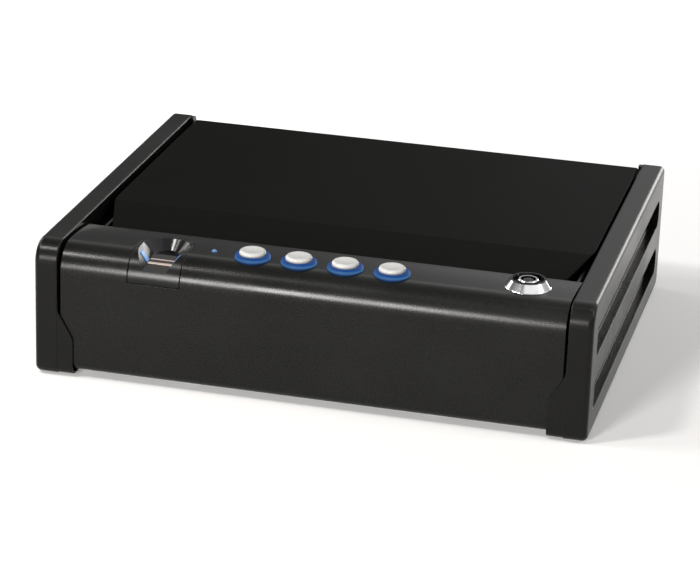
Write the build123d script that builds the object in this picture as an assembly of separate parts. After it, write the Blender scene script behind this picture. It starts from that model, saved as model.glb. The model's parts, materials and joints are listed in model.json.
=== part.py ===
from build123d import *
from math import atan, atan2, cos, degrees, hypot, pi, radians, sin, sqrt, tan
import os

# A quick-access gun safe that lies flat: a folded steel tray with a lid that opens upwards on a rear
# hinge, a moulded front housing with the controls, and a moulded cap over each end.
# Millimetres. +X to the right, +Y to the rear, +Z up. The origin is under the middle of the feet.

# ---- Driving dimensions: overall ----
width = 307.0
depth = 248.0
height = 76.0
foot_proud = 0.6

# ---- Walls and clearances ----
steel = 1.5
moulding = 2.4
rib = 1.8
fit = 0.3
slip = 0.1

# ---- End caps ----
cap_width = 13.2
cap_edge_radius = 3.0
cap_front_top = 12.0
cap_rear_top = 3.4
cap_rear_bottom = 7.0
cap_front_bottom = 5.0
cap_lip = 2.0
cap_lip_height = 6.5
cap_shelf_drop = 15.5
cap_rear_return = 7.0
groove_height = 16.5
groove_depth = 5.0
groove_low_z = 13.2
groove_top_margin = 16.2
groove_front_margin = 16.0
groove_rear_margin = 15.0
groove_ramp = 26.0
groove_corner = 6.0
tab_width = 8.7
tab_height = 22.0
tab_slope = 15.0
tab_bend = 9.0
tab_thickness = 1.0
tab_setback = 0.4
tab_reach = 12.0
boss_radius = 4.0
boss_z = 36.3
boss_first = 72.0
boss_pitch = 52.0
boss_rear_margin = 21.0

# ---- Lid ----
lid_drop = 2.7
lid_side_gap = 2.3
lid_rear_margin = 2.0
crease_from_front = 88.0
ramp_angle = 10.0
ramp_taper = 12.0
lid_front_gap = 2.4
lid_nose_drop = 17.0
flange_height = 9.0
flange_gap = 1.7

# ---- Front housing ----
housing_setback = 1.6
housing_end_gap = 1.5
housing_bottom = 3.0
shoulder_radius = 15.0
deck_drop = 2.0
housing_depth = 48.4
ridge_drop = 2.7
housing_fold = 5.0
housing_rear_drop = 20.0
bottom_flange = 10.0
post_radius = 3.6
post_gap = 0.4
post_from_front = 14.5
post_from_board = 14.25
post_rear_from_front = 43.0

# ---- Steel body ----
floor_bottom = 3.0
body_rear_gap = 2.5
wall_drop = 10.0
bay_wall_drop = 20.0
rear_wall_drop = 11.4
bulkhead_gap = 1.3
bulkhead_drop = 14.0
bulkhead_flange = 9.0
anchor_radius = 4.25
anchor_x = 95.0
anchor_front_y = -40.0
anchor_rear_y = 80.0

# ---- Hinge ----
knuckle_radius = 2.5
pin_radius = 1.5
hinge_side_margin = 24.8
knuckles = 5
knuckle_gap = 0.5
leaf = 1.2
leaf_reach = 20.0

# ---- Gas strut ----
strut_from_wall = 10.0
strut_foot_ahead = 5.3
strut_foot_z = 18.0
strut_head_drop = 4.6
strut_tube_radius = 5.0
strut_rod_radius = 2.0
strut_rod_bare = 17.2
strut_tube_start = 7.5
strut_piston_at = 9.6
strut_wall = 1.0
eye_radius = 4.4
eye_width = 5.0
stud_radius = 2.4
bracket_reach = 9.0

# ---- Buttons, light rings and status light ----
button_count = 4
button_pitch = 25.7
button_mid_x = 2.2
button_from_front = 21.0
button_radius = 7.35
button_proud = 4.6
button_round = 1.6
button_dish = 0.45
button_travel = 1.0
button_collar = 0.9
button_collar_thickness = 1.2
button_collar_gap = 0.4
dome_slack = 2.6
ring_outer = 9.75
ring_play = 0.4
ring_height = 2.4
ring_spigot = 8.9
ring_below = 0.8
led_from_front = 24.0
led_radius = 1.4
board_thickness = 1.6
board_side = 2.7
board_end = 13.0
board_ahead = 9.5
board_behind = 17.0
board_post_radius = 2.6
board_post_inset = 4.0
board_post_side = 9.5

# ---- Fingerprint scanner ----
scanner_from_button = 49.95
scanner_width = 29.7
scanner_depth = 15.7
bezel_gap = 0.4
scanner_arch_from_front = 26.4
scoop_rim = 1.45
scoop_floor_radius = 7.4
scoop_from_front = 26.0
scoop_depth = 6.4
scoop_front_rim = 9.6
scoop_front_floor = 6.4
scoop_fall = 2.4
sensor_width = 13.6
sensor_length = 7.0
sensor_from_front = 16.6
sensor_height = 3.0
sensor_proud = 0.3
sensor_board_side = 12.0
sensor_board_ahead = 7.0
sensor_board_behind = 14.0

# ---- Key lock ----
lock_from_side = 40.5
lock_from_front = 27.5
collar_base_radius = 12.4
collar_top_radius = 9.35
collar_height = 5.2
collar_flange = 0.8
barrel_radius = 7.9
plug_radius = 5.45
keyway_outer = 4.1
keyway_inner = 2.7
keyway_depth = 5.5
barrel_length = 22.8
nut_height = 3.0
nut_radius = 11.0
cam_thickness = 2.4
cam_square = 3.0
cam_throw = 8.0
cam_rest_reach = 19.0
follower_radius = 2.0

# ---- Latch bar ----
bar_from_ridge = 3.0
bar_thickness = 2.0
bar_drop = 18.0
bar_height = 12.0
finger_from_left = 15.5
finger_pitch = 97.0
finger_width = 6.0
finger_inset = 4.0
hook_play = 1.2
strike_land = 4.0
strike_lap = 5.5
guide_from_left = 10.5
guide_pitch = 81.0
guide_length = 8.0
guide_wall = 2.2

# ---- Solenoid ----
solenoid_length = 30.0
solenoid_width = 18.0
solenoid_height = 17.0
solenoid_gap = 2.0
plunger_radius = 3.0
plunger_neck = 1.8
latch_spring_gap = 9.0
spring_wire = 0.8

# ---- Battery compartment ----
battery_from_side = 27.5
battery_width = 35.3
battery_top = 42.0
battery_gap = 1.5
cell_radius = 7.2
cell_gap = 1.2
cell_length = 49.5
cell_inset = 3.4
cell_end_room = 3.1
cell_tip = 1.0
cell_tip_radius = 2.6
contact_radius = 3.0
door_thickness = 2.0
door_bottom = 13.6
door_top = 40.0
door_side = 3.0

# ---- Main board ----
control_from_post = 6.4
control_length = 58.0
control_top = 44.0
control_from_front = 14.0
chip_side = 14.0
chip_thickness = 1.6
chip_from_left = 6.0
chip_above_floor = 9.5
socket_width = 10.0
socket_height = 8.0
socket_reach = 5.0
socket_from_left = 30.0
socket_above_floor = 5.5
capacitor_radius = 6.0
capacitor_length = 5.0
capacitor_from_left = 48.0
capacitor_above_floor = 25.5

# ---- Linings, feet, fasteners ----
pad_thickness = 6.0
pad_front_gap = 8.0
liner_thickness = 5.5
liner_gap = 4.3
bumper_radius = 3.5
foot_length = 24.0
foot_width = 10.0
foot_thickness = 2.0
screw_radius = 1.6
screw_head_radius = 3.2
screw_head_height = 2.0
post_screw_length = 12.0
board_screw = 0.9
board_screw_length = 5.0
board_screw_head = 2.0
board_screw_head_height = 1.2
rivet_radius = 2.2
rivet_head = 1.0
rivet_inset = 6.0

# ---- Places that follow from the dimensions ----
front = -depth / 2
rear = depth / 2
cap_outer = width / 2
cap_inner = cap_outer - cap_width
cap_shelf_z = height - cap_shelf_drop
groove_high_z = height - groove_top_margin - groove_height
boss_ys = [front + boss_first + i * boss_pitch for i in range(3)] + [rear - boss_rear_margin]
lid_half = cap_inner - lid_side_gap
body_half = lid_half - steel - flange_gap
skirt_inner = body_half + fit
lid_top = height - lid_drop
lid_under = lid_top - steel
lid_rear = rear - lid_rear_margin
lid_nose_bottom = height - lid_nose_drop
crease = front + crease_from_front
housing_half = cap_inner - housing_end_gap
housing_front = front + housing_setback
ridge = housing_front + housing_depth
deck_top = height - deck_drop
housing_rear_bottom = height - housing_rear_drop
shoulder = housing_front + shoulder_radius
crown_run = ridge - shoulder
crown_radius = (crown_run**2 + ridge_drop**2) / (2 * ridge_drop)
lid_nose = ridge + lid_front_gap
strike_front = lid_nose + steel
bulkhead = strike_front + steel + bulkhead_gap
bulkhead_top = height - bulkhead_drop
wall_top = height - wall_drop
bay_wall_top = height - bay_wall_drop
rear_wall_top = height - rear_wall_drop
body_rear = rear - body_rear_gap
body_rear_inner = body_rear - steel
body_front = housing_front + bottom_flange + fit
floor_top = floor_bottom + steel
hinge_y = body_rear_inner - knuckle_radius - 0.2
hinge_z = lid_under - knuckle_radius - fit
hinge_length = 2 * (body_half - hinge_side_margin)
bar_rear = ridge - bar_from_ridge
bar_front = bar_rear - bar_thickness
bar_top = height - bar_drop
bar_bottom = bar_top - bar_height
finger_bottom = bar_bottom + finger_inset
finger_top = bar_top - finger_inset
battery_left = battery_from_side - cap_outer
cell_left = battery_left + cell_inset
cell_right = cell_left + cell_length + cell_tip
battery_right = cell_right + cell_end_room
bar_left = battery_right + battery_gap
finger_xs = [bar_left + finger_from_left + i * finger_pitch for i in range(2)]
guide_xs = [bar_left + guide_from_left + i * guide_pitch for i in range(2)]
button_y = front + button_from_front
button_xs = [button_mid_x + (i - (button_count - 1) / 2) * button_pitch for i in range(button_count)]
scanner_x = button_xs[0] - scanner_from_button
scanner_right = scanner_x + scanner_width / 2
led_x = (scanner_right + button_xs[0] - ring_outer) / 2
board_left = led_x - board_side
board_right = button_xs[-1] + board_end
middle_post_x = board_right + post_from_board
scoop_rim_radius = scanner_width / 2 - scoop_rim
scoop_floor_z = deck_top - scoop_depth
lock_x = cap_outer - lock_from_side
led_y = front + led_from_front
lock_y = front + lock_from_front
sensor_y = front + sensor_from_front
scoop_y = front + scoop_from_front


def deck_z(y):
    """Height of the deck's outer surface behind the shoulder."""
    return deck_top - crown_radius + sqrt(crown_radius**2 - (y - shoulder) ** 2)


def lid_z(y):
    """Height of the ramp's upper surface in front of the crease."""
    return lid_top - (crease - y) * tan(radians(ramp_angle))


collar_top = -moulding - ring_below - button_collar_gap
board_top = deck_z(button_y) + collar_top - button_collar_thickness - button_travel - dome_slack
board_bottom = board_top - board_thickness


# ---- Small tools ----
def block(x0, x1, y0, y1, z0, z1):
    """A box between two limits on each axis."""
    return Pos((x0 + x1) / 2, (y0 + y1) / 2, (z0 + z1) / 2) * Box(x1 - x0, y1 - y0, z1 - z0)


def disc(radius, x, y, z0, z1):
    """A cylinder along Z."""
    return Pos(x, y, (z0 + z1) / 2) * Cylinder(radius, z1 - z0)


def bar_x(radius, x0, x1, y, z):
    """A cylinder along X."""
    return Pos((x0 + x1) / 2, y, z) * Rot(0, 90, 0) * Cylinder(radius, x1 - x0)


def outline(corners):
    """A flat face through (x, y, radius) corners, each rounded by its own radius."""
    points = [Vector(x, y) for x, y, _ in corners]
    count = len(corners)
    stretches, arcs = [], []
    for i, (_, _, radius) in enumerate(corners):
        back = (points[i - 1] - points[i]).normalized()
        on = (points[(i + 1) % count] - points[i]).normalized()
        half = radians(back.get_angle(on)) / 2
        reach = radius / tan(half)
        start, end = points[i] + back * reach, points[i] + on * reach
        middle = points[i] + (back + on).normalized() * (radius / sin(half) - radius)
        arcs.append((start, middle, end, radius))
    for i, (start, middle, end, radius) in enumerate(arcs):
        if radius > 0:
            stretches.append(ThreePointArc(start, middle, end))
        following = arcs[(i + 1) % count][0]
        if (following - end).length > 1e-6:
            stretches.append(Line(end, following))
    return make_face(stretches)


def prism_x(face, x0, x1):
    """A face drawn in (y, z), extruded from x0 to x1."""
    return Plane.YZ.offset(x0) * extrude(face, x1 - x0)


def prism_z(face, z0, z1):
    """A face drawn in (x, y), extruded from z0 to z1."""
    return Pos(0, 0, z0) * extrude(face, z1 - z0)


def prism_y(face, y0, y1):
    """A face drawn in (x, z), extruded from y0 to y1."""
    return Plane.XZ.offset(-y1) * extrude(face, y1 - y0)


def turned(points, x, y, z):
    """A solid of revolution about a vertical axis through (x, y), from (radius, height) points."""
    profile = Plane.XZ * make_face(Polyline(*points, close=True))
    return Pos(x, y, z) * revolve(profile, Axis.Z)


def mirrored(shape):
    """The shape on the other end of the safe."""
    return mirror(shape, about=Plane.YZ)


def group(*shapes):
    """Separate solids that share one node."""
    return Compound(children=[solid for shape in shapes for solid in shape.solids()])


os.makedirs("parts", exist_ok=True)


def write(name, shape):
    """Write one piece, lifted so that the feet stand at height zero."""
    solids = [Pos(0, 0, foot_proud) * solid for solid in shape.solids()]
    export_step(solids[0] if len(solids) == 1 else Compound(children=solids), f"parts/{name}.step")


# ---- End caps ----
def cap_profile(inset):
    """Side outline of an end cap, drawn in (y, z) and moved inwards by inset."""
    return outline([
        (front + inset, inset, max(cap_front_bottom - inset, 0.5)),
        (rear - inset, inset, max(cap_rear_bottom - inset, 0.5)),
        (rear - inset, height - inset, max(cap_rear_top - inset, 0.5)),
        (front + inset, height - inset, max(cap_front_top - inset, 0.5)),
    ])


def groove(bottom, grow):
    """A long recess in the cap's outer side that ramps down from its front end, grown all round by grow."""
    y0 = front + groove_front_margin - grow
    y1 = rear - groove_rear_margin + grow
    z0, z1 = bottom - grow, bottom + groove_height + grow
    floor = cap_outer - groove_depth - grow
    outside = cap_outer + 5.0
    lead = groove_ramp * (outside - cap_outer + grow) / groove_depth
    plan = make_face(Polyline(
        (outside, y0 - lead + grow), (floor, y0 + groove_ramp), (floor, y1), (outside, y1), close=True,
    ))
    side = outline([(y0, z0, 1.5), (y1, z0, groove_corner), (y1, z1, groove_corner), (y0, z1, 1.5)])
    return prism_z(plan, z0, z1) & prism_x(side, floor - 1, outside)


def end_cap():
    """The right-hand end cap."""
    cap = prism_x(cap_profile(0), cap_inner, cap_outer)
    outer_edges = cap.edges().filter_by_position(Axis.X, cap_outer - 0.01, cap_outer + 0.01)
    cap = fillet(outer_edges, cap_edge_radius)
    inner_edges = cap.edges().filter_by_position(Axis.X, cap_inner - 0.01, cap_inner + 0.01)
    cap = fillet(inner_edges, 0.8)
    skin = cap
    # hollow, with a return lip all round the open side that follows the lid and its ramp
    cap -= prism_x(cap_profile(moulding), cap_inner + cap_lip, cap_outer - moulding)
    low = cap_lip_height + moulding
    cap -= prism_x(outline([
        (front + low, low, 2), (rear - low, low, 2), (rear - low, height - cap_lip_height, 2),
        (crease, height - cap_lip_height, 2), (ridge, cap_shelf_z, 2), (front + low, cap_shelf_z, 2),
    ]), cap_inner - 1, cap_inner + cap_lip + 1)
    # skirt along the bottom and rear, and a shelf under the lid's side flange, reaching to the steel body
    skirt = prism_x(cap_profile(0), skirt_inner, cap_inner + cap_lip)
    skirt -= prism_x(cap_profile(moulding), skirt_inner - 1, cap_inner + cap_lip + 1)
    skirt -= block(skirt_inner - 1, cap_outer, front - 1, ridge + fit, -1, height + 1)
    skirt -= block(skirt_inner - 1, cap_outer, front, rear + 1, cap_shelf_z, height + 1)
    shelf_bottom = cap_shelf_z - rib
    shelf = block(skirt_inner, cap_outer - moulding, ridge + fit, rear - moulding, shelf_bottom, cap_shelf_z)
    cap += [skirt, shelf]
    # a return at the rear end that closes the gap beside the lid
    rear_return = prism_x(cap_profile(fit), lid_half + fit, cap_inner + cap_lip)
    cap += rear_return & block(0, cap_outer, rear - cap_rear_return, rear, shelf_bottom, height)
    # the grooves, with a wall formed round each
    for bottom in (groove_low_z, groove_high_z):
        cap += groove(bottom, moulding) & skin
    for bottom in (groove_low_z, groove_high_z):
        cap -= groove(bottom, 0)
    # the foot's tab, lapped over the corner of the front housing
    tab = prism_x(cap_profile(tab_setback), cap_inner - tab_width, cap_inner + 1)
    tab -= prism_x(cap_profile(tab_setback + tab_thickness), cap_inner - tab_width - 1, cap_inner + 2)
    tab_top = tab_height + tab_slope
    tab_face = outline([
        (cap_inner - tab_width, -1, 0), (cap_inner + 1, -1, 0), (cap_inner + 1, tab_top + tab_bend, 0),
        (cap_inner, tab_top + tab_bend, 0), (cap_inner, tab_top, tab_bend),
        (cap_inner - tab_width, tab_height, tab_bend),
    ])
    cap += tab & prism_y(tab_face, front - 1, front + tab_reach)
    # screw bosses, and the pockets of the rubber feet
    for y in boss_ys:
        cap += bar_x(boss_radius, skirt_inner, cap_outer - moulding, y, boss_z)
        cap -= bar_x(screw_radius, skirt_inner - 1, cap_outer - moulding - 1, y, boss_z)
    for y in foot_ys:
        cap -= foot_pocket(y, fit / 3)
    return cap


foot_x = (cap_inner + cap_outer) / 2 - 1.0
foot_ys = (front + 34.0, rear - 34.0)


def foot_pocket(y, grow):
    """The room of one rubber foot in the cap's bottom wall, grown by grow."""
    face = SlotOverall(foot_length + 2 * grow, foot_width + 2 * grow, rotation=90)
    depth_in = foot_thickness - foot_proud
    return Pos(foot_x, y, 0) * prism_z(face, -1, depth_in + grow)


def rubber_foot(y):
    """A rubber foot that stands proud of the cap's bottom."""
    face = SlotOverall(foot_length, foot_width, rotation=90)
    return Pos(foot_x, y, 0) * prism_z(face, -foot_proud, foot_thickness - foot_proud)


right_cap = end_cap()
write("right_end_cap", right_cap)
write("left_end_cap", mirrored(right_cap))
feet = [rubber_foot(y) for y in foot_ys]
write("rubber_feet", group(*feet, *[mirrored(foot) for foot in feet]))


# ---- Steel body ----
def steel_body():
    """The folded tray: floor, side walls and rear wall."""
    body = block(-body_half, body_half, body_front, body_rear, floor_bottom, wall_top)
    corners = body.edges().filter_by(Axis.Z).group_by(Axis.Y)[-1]
    bottom = body.faces().sort_by(Axis.Z)[0].edges().filter_by(Axis.Y)
    body = fillet(corners + bottom, 2.0)
    inner = body_half - steel
    body -= block(-inner, inner, front, body_rear_inner, floor_top, height)
    body -= block(-width, width, front, bulkhead, bay_wall_top, height)
    body -= block(-width, width, body_rear_inner - 1, rear, rear_wall_top, height)
    for x in (-anchor_x, anchor_x):
        for y in (anchor_front_y, anchor_rear_y):
            body -= disc(anchor_radius, x, y, 0, floor_top + 1)
    for y in boss_ys:
        body -= bar_x(screw_radius + slip, -width, width, y, boss_z)
    for x, y in housing_posts:
        body -= disc(screw_radius + slip, x, y, 0, floor_top + 1)
    return body


post_x = body_half - steel - post_gap - post_radius
housing_posts = [
    (-post_x, front + post_from_front), ((scanner_right + board_left) / 2, front + post_from_front),
    (middle_post_x, front + post_from_front), (post_x, front + post_rear_from_front),
]
write("steel_body", steel_body())


# ---- Bulkhead between the front bay and the interior ----
lug_radius = 2.4
door_hinge_y = bulkhead + steel + lug_radius
door_hinge_z = door_bottom + door_thickness / 2
door_pin = 1.2
lug_width = 2.6


def inner_front_wall():
    """The bulkhead, with a stiffening flange along its top and the window of the battery door."""
    inner = body_half - steel - fit / 3
    wall = block(-inner, inner, bulkhead, bulkhead + steel, floor_top, bulkhead_top)
    wall += block(-inner, inner, bulkhead, bulkhead + bulkhead_flange, bulkhead_top - steel, bulkhead_top)
    top_edge = wall.edges().filter_by(Axis.X).sort_by_distance((0, bulkhead, bulkhead_top))[0]
    wall = fillet(top_edge, 1.2)
    left, right = battery_left + door_side - fit, battery_right - door_side + fit
    wall -= block(left, right, bulkhead - 1, bulkhead + steel + 1, door_bottom - fit, door_top + 2 * fit)
    # two lugs that carry the battery door's hinge pins
    for x0, x1 in ((left - lug_width, left - fit), (right + fit, right + lug_width)):
        lug = block(x0, x1, bulkhead + steel, door_hinge_y, door_hinge_z - lug_radius,
                    door_hinge_z + lug_radius)
        lug += bar_x(lug_radius, x0, x1, door_hinge_y, door_hinge_z)
        wall += lug
    for x in (left, right):
        wall -= bar_x(door_pin + slip / 2, x - 3, x + 3, door_hinge_y, door_hinge_z)
    return wall


write("inner_front_wall", inner_front_wall())


def battery_door():
    """A door that closes the window and folds down on two stub pins."""
    left, right = battery_left + door_side, battery_right - door_side
    back = bulkhead + steel
    door = block(left, right, back - door_thickness, back, door_bottom, door_top)
    door += block(left, right, back - door_thickness, door_hinge_y, door_hinge_z - 1.0, door_hinge_z + 1.0)
    door += bar_x(door_pin + 0.6, left, right, door_hinge_y, door_hinge_z)
    door += bar_x(door_pin, left + fit - lug_width, right - fit + lug_width, door_hinge_y, door_hinge_z)
    # finger ledge along the top
    middle = (left + right) / 2
    door += block(middle - 8, middle + 8, back - 0.5, back + 2.5, door_top - 5.0, door_top - 3.0)
    return door


write("battery_door", battery_door())


# ---- Front housing ----
def housing_profile(inset):
    """Side outline of the front housing, drawn in (y, z) and moved inwards by inset."""
    y0, y1, z0 = housing_front + inset, ridge - inset, housing_bottom + inset
    shoulder_z = deck_top - shoulder_radius
    crown_mid_z = deck_top - crown_radius
    crown = crown_radius - inset
    fold = max(housing_fold - inset, 0.6)
    top_end = (y1, crown_mid_z + sqrt(crown**2 - (y1 - shoulder) ** 2))
    half_way = shoulder + crown_run / 2
    return make_face([
        Line((y0 + fold, z0), (y1, z0)),
        Line((y1, z0), top_end),
        ThreePointArc(top_end, (half_way, crown_mid_z + sqrt(crown**2 - (half_way - shoulder) ** 2)),
                      (shoulder, deck_top - inset)),
        ThreePointArc((shoulder, deck_top - inset),
                      (shoulder - (shoulder_radius - inset) * sin(pi / 4),
                       shoulder_z + (shoulder_radius - inset) * cos(pi / 4)),
                      (y0, shoulder_z)),
        Line((y0, shoulder_z), (y0, z0 + fold)),
        ThreePointArc((y0, z0 + fold), (y0 + fold * (1 - sin(pi / 4)), z0 + fold * (1 - cos(pi / 4))),
                      (y0 + fold, z0)),
    ])


def housing_block(inset, half):
    """The housing's outer form as a solid block."""
    return prism_x(housing_profile(inset), -half, half)


def scanner_prism(grow):
    """The arched room of the scanner's bezel, square at the front and grown by grow."""
    half = scanner_width / 2 + grow
    arch_y = front + scanner_arch_from_front
    plan = make_face([
        Line((scanner_x - half, front - 5), (scanner_x + half, front - 5)),
        Line((scanner_x + half, front - 5), (scanner_x + half, arch_y)),
        ThreePointArc((scanner_x + half, arch_y), (scanner_x, arch_y + half), (scanner_x - half, arch_y)),
        Line((scanner_x - half, arch_y), (scanner_x - half, front - 5)),
    ])
    return prism_z(plan, deck_top - scanner_depth - grow, height + 5)


button_z = deck_z(button_y)
lock_seat = deck_z(lock_y) - 0.5
board_front = button_y - board_ahead
board_rear = button_y + board_behind
board_posts = [
    (x, board_rear - board_post_inset)
    for x in (board_left + board_post_side, button_xs[1], button_xs[2], board_right - board_post_inset)
]


def front_housing():
    """The moulded shell over the front bay, open at the bottom and under the rear wall."""
    shell = housing_block(0, housing_half)
    ridge_edge = shell.edges().filter_by(Axis.X).sort_by_distance((0, ridge, deck_z(ridge)))[0]
    shell = fillet(ridge_edge, 0.7)
    hollow = housing_block(moulding, housing_half - moulding)
    hollow += block(moulding - housing_half, housing_half - moulding,
                    housing_front + bottom_flange, ridge + 5, housing_bottom - 1, housing_rear_bottom)
    shell -= hollow
    shell -= block(-width, width, ridge - moulding - 1, ridge + 5, housing_bottom - 1, housing_rear_bottom)
    shell -= scanner_prism(0)
    for x in button_xs:
        shell -= disc(ring_outer + slip, x, button_y, button_z - fit, height)
        shell -= disc(ring_spigot + slip, x, button_y, board_top, height)
    shell -= disc(led_radius + slip, led_x, led_y, board_top, height)
    shell -= disc(collar_base_radius + slip, lock_x, lock_y, lock_seat, height)
    shell -= disc(barrel_radius + slip, lock_x, lock_y, lock_seat - 10, height)
    # posts down to the steel floor for the housing screws, and to the keypad board
    for x, y in housing_posts:
        post = disc(post_radius, x, y, floor_top, deck_top)
        shell += (post & housing_block(0.5, housing_half - 0.5)) - disc(screw_radius, x, y, 0, 20)
    for x, y in board_posts:
        post = disc(board_post_radius, x, y, board_top, deck_top) & housing_block(0.5, housing_half - 0.5)
        shell += post - disc(board_screw, x, y, board_top - 1, board_top + 4)
    return shell


write("front_housing", front_housing())


# ---- Fingerprint scanner ----
def scoop(grow):
    """The finger's recess: a cone at the rear and a tapering channel that runs out through the front."""
    slope = (scoop_rim_radius - scoop_floor_radius) / (deck_top - scoop_floor_z)
    bottom, top = scoop_floor_z - grow, height
    side = grow * sqrt(1 + slope**2)
    floor_radius = scoop_floor_radius + side - grow * slope
    rim_radius = floor_radius + (top - bottom) * slope
    cone = Pos(scanner_x, scoop_y, (bottom + top) / 2) * Cone(floor_radius, rim_radius, top - bottom)
    front_y = front - 2.0
    narrow = scoop_front_floor + side - grow * slope
    front_slope = (scoop_front_rim - scoop_front_floor) / (deck_top - scoop_floor_z)
    front_bottom = bottom - scoop_fall

    def section(y, low, half_low, half_top):
        points = [(scanner_x - half_low, low), (scanner_x + half_low, low),
                  (scanner_x + half_top, top), (scanner_x - half_top, top)]
        return Plane.XZ.offset(-y) * make_face(Polyline(*points, close=True))

    channel = loft([
        section(scoop_y, bottom, floor_radius, rim_radius),
        section(front_y, front_bottom, narrow, narrow + (top - front_bottom) * front_slope),
    ])
    return cone + channel


sensor_slope = scoop_fall / (scoop_y - front + 2.0)
sensor_floor = scoop_floor_z - (scoop_y - sensor_y) * sensor_slope


def scanner_bezel():
    """The glossy bezel, flush with the housing, with the scoop formed into it."""
    room = scanner_prism(-bezel_gap)
    skin = housing_block(0, housing_half) & room
    bezel = skin - housing_block(moulding, housing_half)
    bezel -= block(scanner_x - 30, scanner_x + 30, ridge - moulding, ridge + 5, 0, height)
    bezel += skin & scoop(rib)
    bezel -= scoop(0)
    half, length = sensor_width / 2 + slip, sensor_length / 2 + slip
    bezel -= block(scanner_x - half, scanner_x + half, sensor_y - length, sensor_y + length,
                   sensor_floor - 10, sensor_floor + 2)
    return bezel


write("scanner_bezel", scanner_bezel())

sensor_bottom = sensor_floor - sensor_height
sensor = block(scanner_x - sensor_width / 2, scanner_x + sensor_width / 2, sensor_y - sensor_length / 2,
               sensor_y + sensor_length / 2, sensor_bottom, sensor_floor + sensor_proud)
write("fingerprint_sensor", sensor)
sensor_board = block(scanner_x - sensor_board_side, scanner_x + sensor_board_side,
                     sensor_y - sensor_board_ahead, sensor_y + sensor_board_behind,
                     sensor_bottom - board_thickness, sensor_bottom)
write("sensor_board", sensor_board)


def light_guides():
    """Two thin guides on the flanks of the scoop, from the sensor's ends up to the rim."""
    guide_y0, guide_y1 = sensor_y - sensor_length / 2 + 0.4, sensor_y + 0.6
    band = block(scanner_x - 20, scanner_x + 20, guide_y0, guide_y1, sensor_floor + 0.6, deck_top - 1.6)
    strip = (scoop(0) & band) - (scoop(-0.5) & band)
    return strip


guides = light_guides()
write("scanner_light_guides", guides)


# ---- Buttons ----
def light_ring(x):
    """A lit collar round one button, seated on the deck."""
    inner = button_radius + ring_play
    profile = Plane.XZ * make_face([
        Line((inner, -moulding - ring_below), (ring_spigot, -moulding - ring_below)),
        Line((ring_spigot, -moulding - ring_below), (ring_spigot, -fit)),
        Line((ring_spigot, -fit), (ring_outer, -fit)),
        Line((ring_outer, -fit), (ring_outer, ring_height * 0.4)),
        ThreePointArc((ring_outer, ring_height * 0.4), (ring_outer - 0.45, ring_height * 0.8),
                      (ring_outer - 1.3, ring_height)),
        Line((ring_outer - 1.3, ring_height), (inner, ring_height)),
        Line((inner, ring_height), (inner, -moulding - ring_below)),
    ])
    return Pos(x, button_y, button_z) * revolve(profile, Axis.Z)


def button(x):
    """A round cap with a dished top, held down by a collar under its light ring."""
    wide, low = button_radius + button_collar, collar_top - button_collar_thickness
    profile = Plane.XZ * make_face([
        Line((0, low), (wide, low)),
        Line((wide, low), (wide, collar_top)),
        Line((wide, collar_top), (button_radius, collar_top)),
        Line((button_radius, collar_top), (button_radius, button_proud - button_round)),
        ThreePointArc((button_radius, button_proud - button_round),
                      (button_radius - button_round * (1 - sin(pi / 4)),
                       button_proud - button_round * (1 - cos(pi / 4))),
                      (button_radius - button_round, button_proud)),
        Line((button_radius - button_round, button_proud), (0, button_proud)),
        Line((0, button_proud), (0, low)),
    ])
    cap = revolve(profile, Axis.Z)
    rim = button_radius - button_round - 0.2
    dish_radius = (rim**2 + button_dish**2) / (2 * button_dish)
    cap -= Pos(0, 0, button_proud - button_dish + dish_radius) * Sphere(dish_radius)
    return Pos(x, button_y, button_z) * cap


dome_top = button_z + collar_top - button_collar_thickness


def button_dome(x):
    """A rubber dome on the board that lifts the button."""
    tall = dome_top - board_top
    outline = [
        (0, tall - 1.0), (1.6, tall - 1.0), (1.6, tall), (2.6, tall), (3.0, tall - 1.2), (4.6, 0.5),
        (5.6, 0.5), (5.6, 0), (3.8, 0), (2.0, tall - 1.8), (0, tall - 1.8),
    ]
    return turned(outline, x, button_y, board_top)


for number, x in enumerate(button_xs, start=1):
    write(f"button_{number}", button(x))
    write(f"light_ring_{number}", light_ring(x))
    write(f"button_dome_{number}", button_dome(x))

led_top = deck_z(led_y) + 0.4
status_led = disc(led_radius, led_x, led_y, board_top, led_top)
status_led = fillet(status_led.edges().sort_by(Axis.Z)[-1], 0.6)
status_led += disc(led_radius + 0.7, led_x, led_y, board_top, board_top + 1.2)
write("status_led", status_led)


def keypad_board():
    """The board that carries the buttons' switches and the status light."""
    board = block(board_left, board_right, board_front, board_rear, board_bottom, board_top)
    for x, y in board_posts:
        board -= disc(board_screw + fit, x, y, board_bottom - 1, board_top + 1)
    return board


write("keypad_board", keypad_board())


# ---- Key lock ----
def lock_collar():
    """The turned cone round the lock, open in the middle."""
    inner = collar_top_radius - 0.9
    bore = barrel_radius + slip / 2
    return turned([
        (bore, 0), (collar_base_radius, 0), (collar_base_radius, collar_flange),
        (collar_base_radius - 0.3, collar_flange + 0.3), (collar_top_radius, collar_height),
        (inner, collar_height), (bore, collar_height - 1.0),
    ], lock_x, lock_y, lock_seat)


recess_z = lock_seat + collar_height - 2.4
plug_top = lock_seat + collar_height - 0.1
barrel_bottom = lock_seat - barrel_length
nut_top = lock_seat - moulding - 0.6


def lock_barrel():
    """The lock's fixed body, with flats for its nut and a bore for the plug."""
    barrel = disc(barrel_radius, lock_x, lock_y, barrel_bottom, recess_z)
    barrel -= disc(plug_radius + slip / 2, lock_x, lock_y, barrel_bottom - 1, height + 5)
    for side in (-1, 1):
        x = lock_x + side * (barrel_radius + 4.2)
        barrel -= block(x - 5, x + 5, lock_y - 20, lock_y + 20, barrel_bottom - 1, nut_top - nut_height + 0.4)
    return barrel


cam_top = barrel_bottom - fit
cam_bottom = cam_top - cam_thickness
cam_rate = cam_throw / (pi / 2)


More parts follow.
